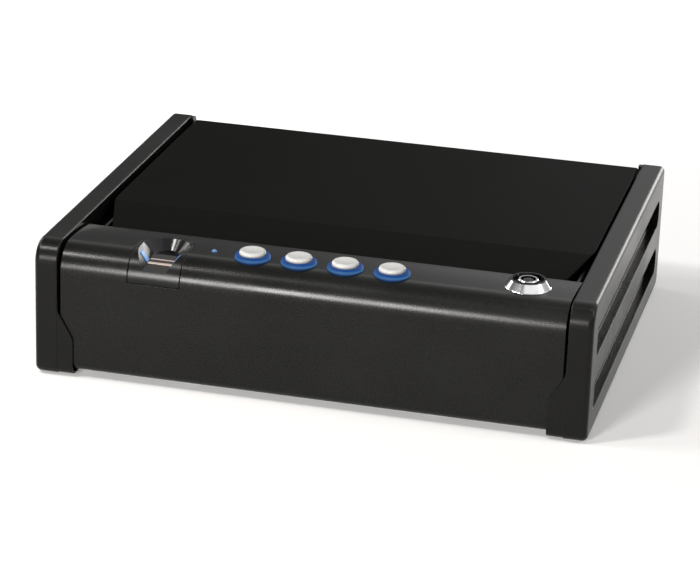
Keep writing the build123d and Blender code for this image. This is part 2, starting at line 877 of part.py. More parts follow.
def lock_plug():
    """The turning core: an annular keyway round a centre pin, and a square end for the cam."""
    plug = turned([(0, cam_top), (plug_radius, cam_top), (plug_radius, plug_top - 0.4),
                   (plug_radius - 0.4, plug_top), (0, plug_top)], lock_x, lock_y, 0)
    keyway = disc(keyway_outer, lock_x, lock_y, plug_top - keyway_depth, plug_top + 1)
    keyway -= disc(keyway_inner, lock_x, lock_y, plug_top - keyway_depth - 1, plug_top - 0.5)
    plug -= keyway
    plug -= block(lock_x - 0.9, lock_x + 0.9, lock_y - keyway_outer - 0.9, lock_y - keyway_inner,
                  plug_top - keyway_depth, plug_top + 1)
    square = block(lock_x - cam_square, lock_x + cam_square, lock_y - cam_square, lock_y + cam_square,
                   cam_bottom, cam_top)
    return plug + square - disc(1.5, lock_x, lock_y, cam_bottom - 1, cam_bottom + 8)


def lock_cam():
    """A plate cam whose working edge is a spiral: the follower moves in step with the angle."""
    def edge_point(turn):
        reach = cam_rest_reach - cam_rate * turn
        slope = atan(cam_rate / reach)
        radius = reach - (follower_radius + fit) / cos(slope)
        angle = pi - turn
        return Vector(radius * cos(angle), radius * sin(angle))

    spiral = Spline(*[edge_point(radians(turn)) for turn in (-4, 14, 32, 50, 68, 86, 96)])
    hub = 6.5
    start, end = spiral @ 1, spiral @ 0
    hub_points = [Vector(hub * cos(a), hub * sin(a)) for a in (radians(60), radians(-30), radians(-120))]
    cam = make_face([
        spiral,
        Line(start, hub_points[0]),
        ThreePointArc(hub_points[0], hub_points[1], hub_points[2]),
        Line(hub_points[2], end),
    ])
    plate = Pos(lock_x, lock_y, 0) * prism_z(cam, cam_bottom, cam_top)
    return plate - block(lock_x - cam_square, lock_x + cam_square, lock_y - cam_square, lock_y + cam_square,
                         cam_bottom - 1, cam_top + 1)


write("lock_collar", lock_collar())
write("lock_barrel", lock_barrel())
write("lock_plug", lock_plug())
write("lock_cam", lock_cam())
cam_screw = disc(1.5, lock_x, lock_y, cam_bottom, cam_bottom + 7)
cam_screw += disc(4.0, lock_x, lock_y, cam_bottom - 1.6, cam_bottom)
write("cam_screw", cam_screw)
lock_nut = Pos(lock_x, lock_y, nut_top - nut_height) * extrude(RegularPolygon(nut_radius, 6), nut_height)
lock_nut -= disc(barrel_radius + slip / 2, lock_x, lock_y, nut_top - nut_height - 1, height)
write("lock_nut", lock_nut)


# ---- Bolt work ----
follower_x = lock_x - cam_rest_reach
arm_top = cam_bottom - 2.7
arm_bottom = arm_top - bar_thickness
solenoid_left = bar_left + finger_from_left
solenoid_right = solenoid_left + solenoid_length
solenoid_z = (bar_bottom + bar_top) / 2
solenoid_rear = bar_front - solenoid_gap
solenoid_y = solenoid_rear - solenoid_width / 2
push_x = solenoid_right + latch_spring_gap


def latch_bar():
    """The sliding bar: two fingers for the lid, a follower for the cam and an arm for the plunger."""
    right = follower_x + 4.0
    bar = block(bar_left, right, bar_front, bar_rear, bar_bottom, bar_top)
    bar = fillet(bar.edges().filter_by(Axis.Y), 2.0)
    for x in finger_xs:
        finger = block(x - finger_width / 2, x + finger_width / 2, bar_front, bulkhead - fit,
                       finger_bottom, finger_top)
        bar += finger
    # arm under the cam, with the follower pin at its end
    bar += block(follower_x - 4, right, bar_front, bar_rear, arm_bottom, bar_bottom + 4)
    bar += block(follower_x - 4, right, lock_y - 3.5, bar_front + 0.5, arm_bottom, arm_top)
    bar += disc(follower_radius, follower_x, lock_y, arm_bottom, cam_top)
    # arm that the plunger is pinned to
    bar += block(push_x, push_x + 2, solenoid_y - 5, bar_front + 0.5, solenoid_z - 5, solenoid_z + 5)
    bar -= bar_x(plunger_neck + slip / 2, push_x - 1, push_x + 3, solenoid_y, solenoid_z)
    return bar


write("latch_bar", latch_bar())


def latch_guide(x):
    """A stand on the floor that carries the bar from below and holds it down from above."""
    face, back, half = bar_front - slip, bar_rear + slip, guide_length / 2
    stand = block(x - half, x + half, face - guide_wall, face, floor_top, bar_top + guide_wall)
    stand += block(x - half, x + half, face - 12, face, floor_top, floor_top + 1.6)
    stand += block(x - half, x + half, face - 0.5, back, bar_top + slip, bar_top + guide_wall)
    stand += block(x - half, x + half, face - 0.5, back + 1.6, bar_bottom - guide_wall, bar_bottom - slip)
    stand += block(x - half, x + half, back, back + 1.6, bar_bottom - guide_wall, bar_bottom + 2.6)
    return stand - disc(screw_radius, x, face - 7.5, 0, floor_top + 3)


write("latch_guides", group(*[latch_guide(x) for x in guide_xs]))

plunger_bore = plunger_radius + slip


def solenoid_body():
    """The solenoid: a coil between the plates of a folded frame, bored for its plunger."""
    y0, y1 = solenoid_y - solenoid_width / 2, solenoid_rear
    z0, z1 = solenoid_z - solenoid_height / 2, solenoid_z + solenoid_height / 2
    body = bar_x(solenoid_height / 2 - 1.2, solenoid_left, solenoid_right, solenoid_y, solenoid_z)
    for x0, x1 in ((solenoid_left, solenoid_left + 1.5), (solenoid_right - 1.5, solenoid_right)):
        body += block(x0, x1, y0, y1, z0, z1)
    body += block(solenoid_left, solenoid_right, y0, y1, z0, z0 + 1.5)
    return body - bar_x(plunger_bore, solenoid_left + 3, solenoid_right + 1, solenoid_y, solenoid_z)


def solenoid_stand():
    """A folded stand that holds the solenoid above the floor."""
    x0, x1 = solenoid_left + 2, solenoid_right - 2
    y0, y1 = solenoid_y - solenoid_width / 2, solenoid_rear
    top = solenoid_z - solenoid_height / 2
    stand = block(x0, x1, y0, y1, floor_top, top)
    stand -= block(x0 - 1, x1 + 1, y0 + steel, y1 - steel, floor_top - 1, top - steel)
    return stand


def solenoid_plunger():
    """The plunger, necked where it is pinned to the latch bar's arm."""
    plunger = bar_x(plunger_radius, solenoid_left + 12, push_x, solenoid_y, solenoid_z)
    plunger += bar_x(plunger_neck, push_x - 0.5, push_x + 4, solenoid_y, solenoid_z)
    return plunger + bar_x(2.8, push_x + 2, push_x + 4, solenoid_y, solenoid_z)


write("solenoid_body", solenoid_body())
write("solenoid_stand", solenoid_stand())
write("solenoid_plunger", solenoid_plunger())


def latch_spring():
    """A compression spring round the plunger, between the solenoid and the latch bar's arm."""
    coil, turns = plunger_radius + 1.3, 5
    length = latch_spring_gap - spring_wire - 2 * slip
    path = Helix(length / turns, length, coil)
    start = Plane(origin=path @ 0, z_dir=path % 0)
    spring = sweep(start * Rectangle(spring_wire, spring_wire), path=path, is_frenet=True)
    return Pos(solenoid_right + spring_wire / 2 + slip, solenoid_y, solenoid_z) * Rot(0, 90, 0) * spring


write("latch_spring", latch_spring())


# ---- Batteries ----
battery_front = bulkhead - fit - battery_width
cell_step = 2 * cell_radius + cell_gap
cell_ys = [battery_front + rib + fit + cell_radius + i * cell_step for i in range(2)]
cell_zs = [floor_top + rib + fit + cell_radius + i * cell_step for i in range(2)]


def battery_holder():
    """An open box behind the battery door, on the floor of the front bay."""
    back = bulkhead - fit
    holder = block(battery_left, battery_right, battery_front, back, floor_top, battery_top)
    holder -= block(battery_left + rib, battery_right - rib, battery_front + rib, back + 1,
                    floor_top + rib, battery_top - rib)
    return holder


def cell(y, z):
    """One round cell lying along X."""
    return bar_x(cell_radius, cell_left, cell_right - cell_tip, y, z) + bar_x(
        cell_tip_radius, cell_right - cell_tip, cell_right, y, z)


def contact(x, y, z):
    """A sprung contact between the holder's end and a cell."""
    return bar_x(contact_radius, min(x), max(x), y, z)


write("battery_holder", battery_holder())
cells = [cell(y, z) for y in cell_ys for z in cell_zs]
write("batteries", group(*cells))
contacts = []
for cell_y in cell_ys:
    for cell_z in cell_zs:
        contacts.append(contact((battery_left + rib, cell_left), cell_y, cell_z))
        contacts.append(contact((cell_right, battery_right - rib), cell_y, cell_z))
write("battery_contacts", group(*contacts))


def control_board():
    """The upright main board with its larger parts."""
    x1 = middle_post_x - post_radius - control_from_post
    x0 = x1 - control_length
    back = front + control_from_front + board_thickness
    chip_x, chip_z = x0 + chip_from_left, floor_top + chip_above_floor
    socket_x, socket_z = x0 + socket_from_left, floor_top + socket_above_floor
    board = block(x0, x1, back - board_thickness, back, floor_top, control_top)
    board += block(chip_x, chip_x + chip_side, back, back + chip_thickness, chip_z, chip_z + chip_side)
    board += block(socket_x, socket_x + socket_width, back, back + socket_reach,
                   socket_z, socket_z + socket_height)
    capacitor = Rot(90, 0, 0) * Cylinder(capacitor_radius, capacitor_length)
    return board + Pos(x0 + capacitor_from_left, back + capacitor_length / 2,
                       floor_top + capacitor_above_floor) * capacitor


write("control_board", control_board())


# ---- Hinge ----
knuckle_pitch = hinge_length / knuckles


def knuckle_spans(parity):
    """The stretches along X of every second knuckle."""
    starts = [-hinge_length / 2 + i * knuckle_pitch for i in range(knuckles) if i % 2 == parity]
    return [(x + knuckle_gap / 2, x + knuckle_pitch - knuckle_gap / 2) for x in starts]


hinge_bore = pin_radius + slip / 2
leaf_front = body_rear_inner - leaf
leaf_bottom = hinge_z - leaf_reach
rivet_xs = [-hinge_length / 2 + (i + 0.5) * knuckle_pitch for i in range(knuckles)]


def hinge_leaf_body():
    """The fixed leaf on the rear wall."""
    low = block(-hinge_length / 2, hinge_length / 2, leaf_front, body_rear_inner, leaf_bottom,
                hinge_z - knuckle_radius - 0.4)
    for x0, x1 in knuckle_spans(0):
        low += block(x0, x1, leaf_front, body_rear_inner, leaf_bottom, hinge_z)
        low += bar_x(knuckle_radius, x0, x1, hinge_y, hinge_z)
        low -= bar_x(hinge_bore, x0 - 1, x1 + 1, hinge_y, hinge_z)
    return low


def hinge_leaf_lid():
    """The moving leaf under the lid."""
    y0, top = hinge_y - leaf_reach, lid_under
    plate = block(-hinge_length / 2, hinge_length / 2, y0, hinge_y - knuckle_radius - 0.6, top - leaf, top)
    for x0, x1 in knuckle_spans(1):
        plate += block(x0, x1, y0, hinge_y, top - leaf, top)
        plate += bar_x(knuckle_radius, x0, x1, hinge_y, hinge_z)
        plate -= bar_x(hinge_bore, x0 - 1, x1 + 1, hinge_y, hinge_z)
    return plate


write("hinge_leaf_body", hinge_leaf_body())
write("hinge_leaf_lid", hinge_leaf_lid())
write("hinge_pin", bar_x(pin_radius, -hinge_length / 2, hinge_length / 2, hinge_y, hinge_z))
rivet_z = leaf_bottom + 7.0


def rivet_y(x, z):
    """A flat rivet head on the inner side of the hinge's fixed leaf."""
    return Pos(x, leaf_front - rivet_head / 2, z) * Rot(90, 0, 0) * Cylinder(rivet_radius, rivet_head)


write("body_rivets", group(*[rivet_y(x, rivet_z) for x in rivet_xs]))
write("lid_rivets", group(*[
    disc(rivet_radius, x, hinge_y - leaf_reach + rivet_inset, lid_under - leaf - rivet_head, lid_under - leaf)
    for x in rivet_xs
]))


# ---- Lid ----
def lid_panel():
    """The bent lid: flat top, crease, ramp and front lip, with a flange along each side."""
    slope = radians(ramp_angle)
    nose_z = lid_z(lid_nose)
    inner_nose = lid_nose + steel
    strip = outline([
        (lid_rear, lid_top, 0.0), (crease, lid_top, 10.0), (lid_nose, nose_z, 2.2),
        (lid_nose, lid_nose_bottom, 0.0), (inner_nose, lid_nose_bottom, 0.0),
        (inner_nose, lid_z(inner_nose) - steel / cos(slope), 0.7),
        (crease + steel * tan(slope / 2), lid_under, 8.5), (lid_rear, lid_under, 0.0),
    ])
    lid = prism_x(strip, -lid_half, lid_half)
    corner = lid_half - ramp_taper
    plan = outline([
        (-lid_half, lid_rear, 2.0), (lid_half, lid_rear, 2.0), (lid_half, crease + 3.0, 30.0),
        (corner, lid_nose - 3.0, 0.0), (-corner, lid_nose - 3.0, 0.0), (-lid_half, crease + 3.0, 30.0),
    ])
    lid &= prism_z(plan, lid_nose_bottom - 5, height)
    for side in (-1, 1):
        x0, x1 = sorted((side * (lid_half - steel), side * lid_half))
        flange = outline([
            (crease + 12.0, lid_top - flange_height, 6.0), (lid_rear - 2.0, lid_top - flange_height, 2.0),
            (lid_rear - 2.0, lid_top - 1.0, 0.0), (crease + 12.0, lid_top - 1.0, 0.0),
        ])
        lid += prism_x(flange, x0, x1)
    top_sides = lid.edges().filter_by(Axis.Y).filter_by_position(Axis.Z, lid_top - 0.01, lid_top + 0.01)
    lid = fillet(top_sides, 0.9)
    return lid


def lid_strike(x):
    """A plate welded behind the lid's front lip, with a slot that one latch finger slides into."""
    half = finger_width / 2 + hook_play
    left, right = x + half, x + half + cam_throw + strike_land
    bottom, top = finger_bottom - hook_play - strike_land, lid_nose_bottom + strike_lap
    plate = outline([(left, bottom, 1.0), (right, bottom, 1.5), (right, top, 1.0), (left, top, 1.0)])
    plate -= Pos((left + right - strike_land) / 2 - 1, (finger_bottom + finger_top) / 2) * Rectangle(
        right - strike_land - left + 2, finger_top - finger_bottom + 2 * hook_play)
    return prism_y(plate, strike_front, strike_front + steel)


write("lid_panel", lid_panel())
write("lid_strikes", group(*[lid_strike(x) for x in finger_xs]))


# ---- Gas strut: both pivots lie at the same distance from the hinge ----
strut_x = body_half - steel - strut_from_wall
foot_y = hinge_y - strut_foot_ahead
strut_arm = hypot(strut_foot_ahead, hinge_z - strut_foot_z)
head_z = hinge_z - strut_head_drop
head_y = hinge_y - sqrt(strut_arm**2 - strut_head_drop**2)
strut_length = hypot(head_y - foot_y, head_z - strut_foot_z)
strut_tilt = degrees(atan2(head_z - strut_foot_z, foot_y - head_y))
strut_tube_end = strut_length - strut_rod_bare


def along_strut(shape):
    """Place a shape drawn along +Z from the foot pivot, with its eye's bore along Y, on the strut's line."""
    return Pos(strut_x, foot_y, strut_foot_z) * Rot(90 - strut_tilt, 0, 0) * Rot(0, 0, 90) * shape


def eye(z):
    """An eye fitting with its bore along Y."""
    ring = Pos(0, 0, z) * Rot(90, 0, 0) * Cylinder(eye_radius, eye_width)
    return ring, Pos(0, 0, z) * Rot(90, 0, 0) * Cylinder(stud_radius + slip, eye_width + 2)


def strut_cylinder():
    """The pressure tube, with its gland and the eye on its foot."""
    ring, bore = eye(0)
    tube = disc(strut_tube_radius, 0, 0, strut_tube_start, strut_tube_end)
    tube = fillet(tube.edges().filter_by(GeomType.CIRCLE), 0.8)
    tube -= disc(strut_tube_radius - strut_wall, 0, 0, strut_tube_start + 1.6, strut_tube_end - 2.0)
    tube -= disc(strut_rod_radius + slip, 0, 0, strut_tube_end - 3, strut_tube_end + 1)
    neck = disc(2.2, 0, 0, 2.0, strut_tube_start + 0.5)
    return along_strut(tube + neck + ring - bore)


def strut_rod():
    """The rod with its piston, and the eye on its head."""
    ring, bore = eye(strut_length)
    rod = disc(strut_rod_radius, 0, 0, strut_piston_at, strut_length - 2)
    rod += disc(strut_tube_radius - strut_wall - slip, 0, 0, strut_piston_at, strut_piston_at + 3.5)
    rod += disc(2.3, 0, 0, strut_length - 6.0, strut_length - 2)
    rod += disc(3.2, 0, 0, strut_length - 8.0, strut_length - 6.0)
    return along_strut(rod + ring - bore)


def stud(x_plate, y, z):
    """A stud that passes through an eye towards the middle of the safe, with a head on its end."""
    end = strut_x - eye_width / 2 - 1.8
    pin = bar_x(stud_radius, end, x_plate + 0.2, y, z)
    pin += bar_x(stud_radius + 1.1, end, end + 1.2, y, z)
    return pin + bar_x(stud_radius + 1.1, strut_x + eye_width / 2 + 0.4, x_plate, y, z)


def strut_body_bracket():
    """A plate on the side wall with the foot's stud."""
    wall = body_half - steel
    plate = block(wall - steel, wall, foot_y - 9, foot_y + 6, strut_foot_z - 6.5, strut_foot_z + 8)
    return fillet(plate.edges().filter_by(Axis.X), 2.0) + stud(wall - steel, foot_y, strut_foot_z)


def strut_lid_bracket():
    """A folded bracket under the lid with the head's stud."""
    web = strut_x + 6.3
    bracket = block(web, web + steel, head_y - 7, head_y + 7, head_z - 5, lid_under)
    bracket = fillet(bracket.edges().filter_by(Axis.X).group_by(Axis.Z)[0], 3.0)
    bracket += block(strut_x - bracket_reach, web + steel, head_y - 7, head_y + 7,
                     lid_under - steel, lid_under)
    return bracket + stud(web, head_y, head_z)


liner_front = crease + pad_front_gap
liner_rear = hinge_y - leaf_reach - liner_gap
liner_half = strut_x - bracket_reach - liner_gap
liner = block(-liner_half, liner_half, liner_front, liner_rear, lid_under - liner_thickness, lid_under)
write("lid_liner", liner)
write("strut_cylinder", strut_cylinder())
write("strut_rod", strut_rod())
write("strut_body_bracket", strut_body_bracket())
write("strut_lid_bracket", strut_lid_bracket())


# ---- Linings and bumpers ----
def floor_pad():
    """The foam on the floor, cut out round the anchor holes and the strut's foot."""
    inner = body_half - steel - 1.0
    pad_front = bulkhead + steel + pad_front_gap
    pad = block(-inner, inner, pad_front, leaf_front - 0.5, floor_top, floor_top + pad_thickness)
    for x in (-anchor_x, anchor_x):
        for y in (anchor_front_y, anchor_rear_y):
            pad -= disc(anchor_radius + 5.0, x, y, floor_top - 1, floor_top + pad_thickness + 1)
    pad -= block(strut_x - 8, width, foot_y - 14, rear, floor_top - 1, floor_top + pad_thickness + 1)
    return pad


write("floor_pad", floor_pad())
bumper_y = bulkhead + bulkhead_flange / 2 + 0.5
bumper_top = lid_z(bumper_y) - steel / cos(radians(ramp_angle)) - 0.6
write("lid_bumpers", group(*[
    disc(bumper_radius, x, bumper_y, bulkhead_top, bumper_top) for x in (-liner_half, liner_half)
]))


# ---- Screws ----
def screw_x(y):
    """A pan-head screw through the side wall into a boss of the right-hand cap."""
    wall = body_half - steel
    return bar_x(screw_radius, wall, cap_outer - moulding - 2, y, boss_z) + bar_x(
        screw_head_radius, wall - screw_head_height, wall, y, boss_z)


def screw_up(x, y, seat, length, radius, head_radius, head_height):
    """A pan-head screw that points upwards from its seat."""
    return disc(radius, x, y, seat, seat + length) + disc(head_radius, x, y, seat - head_height, seat)


cap_screws = [screw_x(y) for y in boss_ys]
write("cap_screws", group(*cap_screws, *[mirrored(screw) for screw in cap_screws]))
write("housing_screws", group(*[
    screw_up(x, y, floor_bottom, post_screw_length, screw_radius, screw_head_radius, screw_head_height)
    for x, y in housing_posts
]))
write("board_screws", group(*[
    screw_up(x, y, board_bottom, board_screw_length, board_screw, board_screw_head, board_screw_head_height)
    for x, y in board_posts
]))

# Pivots and travels, for the record of the joints
print("hinge", hinge_y, hinge_z + foot_proud)
print("strut foot", strut_x, foot_y, strut_foot_z + foot_proud)
print("strut head", strut_x, head_y, head_z + foot_proud, "length", strut_length)
print("door hinge", door_hinge_y, door_hinge_z + foot_proud)
print("lock", lock_x, lock_y, "cam rate m/rad", cam_rate / 1000)
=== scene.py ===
import json
import math

import bmesh
import bpy
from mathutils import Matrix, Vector, noise

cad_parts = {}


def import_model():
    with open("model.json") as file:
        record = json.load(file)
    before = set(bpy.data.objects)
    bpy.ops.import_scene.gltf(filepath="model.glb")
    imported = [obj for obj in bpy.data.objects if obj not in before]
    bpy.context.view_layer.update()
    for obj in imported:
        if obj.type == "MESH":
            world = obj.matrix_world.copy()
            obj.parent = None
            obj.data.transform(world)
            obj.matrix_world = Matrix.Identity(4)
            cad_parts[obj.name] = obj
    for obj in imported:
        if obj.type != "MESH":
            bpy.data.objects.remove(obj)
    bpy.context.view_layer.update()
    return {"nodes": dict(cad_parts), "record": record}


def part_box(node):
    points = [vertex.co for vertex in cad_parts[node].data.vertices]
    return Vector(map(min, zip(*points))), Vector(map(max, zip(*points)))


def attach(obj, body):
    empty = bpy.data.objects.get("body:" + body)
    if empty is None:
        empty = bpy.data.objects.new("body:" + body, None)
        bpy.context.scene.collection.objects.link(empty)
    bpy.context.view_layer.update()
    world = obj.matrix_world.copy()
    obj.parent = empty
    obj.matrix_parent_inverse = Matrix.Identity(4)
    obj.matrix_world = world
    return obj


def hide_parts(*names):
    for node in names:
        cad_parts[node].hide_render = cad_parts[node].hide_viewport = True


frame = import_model()
nodes = frame["nodes"]
scene = bpy.context.scene
scene.view_settings.view_transform = "Standard"


# ---- Places, and sizes that several finishes share ----
# Lengths are in metres, except where a name ends in _MM.
MM_PER_METRE = 1000.0
SCOOP = (-0.0863, -0.0980, 0.0)  # the axis of the finger scoop
LOCK = (0.113, -0.0965, 0.0)  # the axis of the key lock
SCOOP_RIM_MM = (12.6, 13.6)  # radii between which the scoop's polish ends
LOCK_SHADE_AND_BAND_MM = ((-1.0, 4.1), (5.6, 9.5))  # radii of the painted shade in the keyway, and of the darkened band round it
BAND_EDGE_MM = 0.1  # how far a dark band's edge reaches to each side
SENSOR_RAIL = (0.52, 0.60)  # shares of the sensor's half depth between which a rail begins
BUTTON_WALL_SHADE = (-0.0024, -0.0009)  # heights from a button's top between which the painted shade on its wall fades out
RING_FOOT_MM, RING_CROWN_MM = (-2.5, -1.7), (-1.15, -0.55)  # heights from a ring's top between which its glow changes tone
RINGS = {f"light_ring_{number}": f"ring_light_{number}" for number in range(1, 5)}  # node: finish
RING_SPILL_MM = (9.4, 10.8)  # radii between which its light on the plastic fades out
LAMP_SPILL_MM = (1.3, 3.4)
DECK_HEIGHT = (0.0700, 0.0720)  # the spilled light shows above this, on the deck alone


def middle(low, high):
    """The centre of a box."""
    return tuple((a + b) / 2 for a, b in zip(low, high))


def put(name, data):
    """A new object in the scene."""
    made = bpy.data.objects.new(name, data)
    scene.collection.objects.link(made)
    return made


# ---- Camera ----
CAMERA_SENSOR_MM, CAMERA_LENS_MM = 36.0, 145.53
CAMERA_PLACE = (0.350728, -1.475098, 0.606511)
CAMERA_DEGREES = (68.8974, -1.8206, 14.3318)  # about X, Y and Z

camera_data = bpy.data.cameras.new("camera")
camera_data.sensor_width = CAMERA_SENSOR_MM
camera_data.lens = CAMERA_LENS_MM
camera = put("camera", camera_data)
camera.location = CAMERA_PLACE
camera.rotation_euler = [math.radians(angle) for angle in CAMERA_DEGREES]
scene.camera = camera


# ---- Small node tools ----
# A Mix node's sockets for numbers and for colours: two inputs and the output.
MIX_SOCKETS = {"FLOAT": (2, 3, 0), "RGBA": (6, 7, 2)}


def feed(tree, sockets, values):
    """Sets each named socket to a plain number or colour, or links another socket to it."""
    for name, value in values.items():
        socket = sockets[name]
        if isinstance(value, bpy.types.NodeSocket):
            tree.links.new(value, socket)
        elif socket.type == "RGBA":
            socket.default_value = (*value, 1.0)
        else:
            socket.default_value = value


def node(tree, kind, values=None, **settings):
    """A shader node with its settings, and its inputs fed from values."""
    made = tree.nodes.new("ShaderNode" + kind)
    for name, value in settings.items():
        setattr(made, name, value)
    feed(tree, made.inputs, values or {})
    return made


def maths(tree, operation, *values):
    """One arithmetic step on sockets or numbers."""
    return node(tree, "Math", dict(enumerate(values)), operation=operation).outputs[0]


def ramp(tree, value, low, high, to_low=0.0, to_high=1.0):
    """A smooth change from to_low to to_high as value goes from low to high."""
    values = {"Value": value, "From Min": low, "From Max": high,
              "To Min": to_low, "To Max": to_high}
    return node(tree, "MapRange", values, interpolation_type="SMOOTHSTEP").outputs["Result"]


def mixed(tree, factor, first, second, kind="RGBA"):
    """A colour between two others, or a number where kind is FLOAT."""
    one, two, result = MIX_SOCKETS[kind]
    values = {"Factor": factor, one: first, two: second}
    return node(tree, "Mix", values, data_type=kind).outputs[result]


def clouds(tree, place, scale, detail=2.0, roughness=0.5):
    """Cloudy noise: one number in Fac, and three different ones in Color."""
    values = {"Vector": place, "Scale": scale, "Detail": detail, "Roughness": roughness}
    return node(tree, "TexNoise", values).outputs


def point(tree):
    """The point on the object, in metres."""
    return node(tree, "TexCoord").outputs["Object"]


def axes(tree, vector):
    """A vector's X, Y and Z."""
    return node(tree, "SeparateXYZ", {"Vector": vector}).outputs


def effect_group(name, inputs, outputs):
    """An empty node group; inputs gives each socket's default, and outputs each socket's kind."""
    group = bpy.data.node_groups.new(name, "ShaderNodeTree")
    for socket, default in inputs.items():
        kind = "NodeSocketVector" if isinstance(default, tuple) else "NodeSocketFloat"
        made = group.interface.new_socket(socket, in_out="INPUT", socket_type=kind)
        made.default_value = default
    for socket, kind in outputs.items():
        group.interface.new_socket(socket, in_out="OUTPUT", socket_type=kind)
    source, sink = group.nodes.new("NodeGroupInput"), group.nodes.new("NodeGroupOutput")
    return group, source.outputs, sink.inputs


# ---- Effects shared by several materials ----
GRAIN_BEND_SCALE, GRAIN_BEND = 420.0, 0.0012
GRAIN_FINE_SCALE = 5200.0
GRAIN_CELL_SHARE, GRAIN_FINE_SHARE = 0.8, 0.35
GRAIN_SMOOTHNESS = 0.35
SPECKLE_RANGE = (0.25, 0.75)
BEVEL_SAMPLES = 4
SMUDGE_STRETCH = (1.0, 0.8, 1.3)
SMUDGE_DETAIL, SMUDGE_ROUGHNESS = 6.0, 0.62
SMUDGE_RANGE = (0.32, 0.72)
TURNED_MARKS_PER_MM, TURNED_DETAIL = 5.2, 2.0
TURNED_DEPTH = 0.00004


def make_grain():
    """Grain of a moulded or coated face, as a normal and a speckle mask.

    Cells is the grain's cells per metre, Height and Depth say how strong and how deep they are, and
    Edge is the width over which the normal turns round a sharp corner.
    """
    group, source, sink = effect_group(
        "grain",
        {"Cells": 1500.0, "Height": 0.5, "Depth": 0.0002, "Edge": 0.0003},
        {"Normal": "NodeSocketVector", "Speckle": "NodeSocketFloat"},
    )
    place = point(group)
    bend = {0: clouds(group, place, GRAIN_BEND_SCALE)["Color"], 1: (GRAIN_BEND,) * 3, 2: place}
    bent = node(group, "VectorMath", bend, operation="MULTIPLY_ADD").outputs[0]
    values = {"Vector": bent, "Scale": source["Cells"], "Smoothness": GRAIN_SMOOTHNESS}
    cells = node(group, "TexVoronoi", values, feature="SMOOTH_F1").outputs["Distance"]
    fine = clouds(group, place, GRAIN_FINE_SCALE)["Fac"]
    height = maths(group, "ADD", maths(group, "MULTIPLY", cells, GRAIN_CELL_SHARE),
                   maths(group, "MULTIPLY", fine, GRAIN_FINE_SHARE))
    rounded = node(group, "Bevel", {"Radius": source["Edge"]}, samples=BEVEL_SAMPLES)
    bump = node(group, "Bump", {"Strength": source["Height"], "Distance": source["Depth"],
                                "Height": height, "Normal": rounded.outputs["Normal"]})
    feed(group, sink, {"Normal": bump.outputs["Normal"],
                       "Speckle": ramp(group, height, *SPECKLE_RANGE)})
    return group


def make_smudge():
    """Slow unevenness of a finish, from 0 to 1, with Patches of it per metre."""
    group, source, sink = effect_group("smudge", {"Patches": 14.0}, {"Mask": "NodeSocketFloat"})
    stretched = node(group, "Mapping", {"Vector": point(group), "Scale": SMUDGE_STRETCH})
    place = stretched.outputs["Vector"]
    cloud = clouds(group, place, source["Patches"], SMUDGE_DETAIL, SMUDGE_ROUGHNESS)
    feed(group, sink, {"Mask": ramp(group, cloud["Fac"], *SMUDGE_RANGE)})
    return group


def make_radius():
    """Distance in millimetres from an upright axis through Centre."""
    group, source, sink = effect_group(
        "radius", {"Centre": (0.0, 0.0, 0.0)}, {"Radius": "NodeSocketFloat"})
    away = node(group, "VectorMath", {0: point(group), 1: source["Centre"]}, operation="SUBTRACT")
    flatten = (MM_PER_METRE, MM_PER_METRE, 0.0)
    flat = node(group, "VectorMath", {0: away.outputs[0], 1: flatten}, operation="MULTIPLY")
    length = node(group, "VectorMath", {0: flat.outputs[0]}, operation="LENGTH")
    feed(group, sink, {"Radius": length.outputs["Value"]})
    return group


def make_turned():
    """Fine rings of a turned face, Radius millimetres from its axis."""
    group, source, sink = effect_group(
        "turned", {"Radius": 0.0, "Height": 0.3}, {"Normal": "NodeSocketVector"})
    values = {"W": source["Radius"], "Scale": TURNED_MARKS_PER_MM, "Detail": TURNED_DETAIL}
    rings = node(group, "TexNoise", values, noise_dimensions="1D")
    bump = node(group, "Bump", {"Strength": source["Height"], "Distance": TURNED_DEPTH,
                                "Height": rings.outputs["Fac"]})
    feed(group, sink, {"Normal": bump.outputs["Normal"]})
    return group


GRAIN, SMUDGE, RADIUS, TURNED = make_grain(), make_smudge(), make_radius(), make_turned()


def use(tree, group, **values):
    """Places a shared effect in a material, and gives its outputs."""
    return node(tree, "Group", values, node_tree=group).outputs


# ---- Materials ----
SPECKLE_SHARE, SMUDGE_SHARE = 0.6, 0.4  # how much of a finish's colour change comes from each
CHROME_DULLER, CHROME_ROUGHER = 0.86, 0.07  # where it is smudged
GLOW_PALER = 1.3
finishes = {}


def material(name, colour, roughness, specular, metallic=0.0):
    """A Principled material with its plain values on its own sockets."""
    made = bpy.data.materials.new(name)
    made.use_nodes = True
    tree = made.node_tree
    shader = tree.nodes["Principled BSDF"].inputs
    feed(tree, shader, {"Base Color": colour, "Roughness": roughness,
                        "Specular IOR Level": specular, "Metallic": metallic})
    finishes[name] = made
    return tree, shader


def coated(name, dark, light, rough, vary, specular, cells, height,
           depth=0.0002, patches=14.0, metallic=0.0, edge=0.0002):
    """A grained finish whose colour and gloss vary a little over the surface.

    The colour goes from dark to light, and the roughness by vary to each side of rough. The rest is
    as in the grain and smudge effects.
    """
    tree, shader = material(name, dark, rough, specular, metallic)
    grain = use(tree, GRAIN, Cells=cells, Height=height, Depth=depth, Edge=edge)
    smudge = use(tree, SMUDGE, Patches=patches)["Mask"]
    blend = maths(tree, "ADD", maths(tree, "MULTIPLY", grain["Speckle"], SPECKLE_SHARE),
                  maths(tree, "MULTIPLY", smudge, SMUDGE_SHARE))
    feed(tree, shader, {
        "Normal": grain["Normal"],
        "Base Color": mixed(tree, blend, dark, light),
        "Roughness": ramp(tree, smudge, 0.0, 1.0, rough - vary, rough + vary),
    })
    return tree, shader


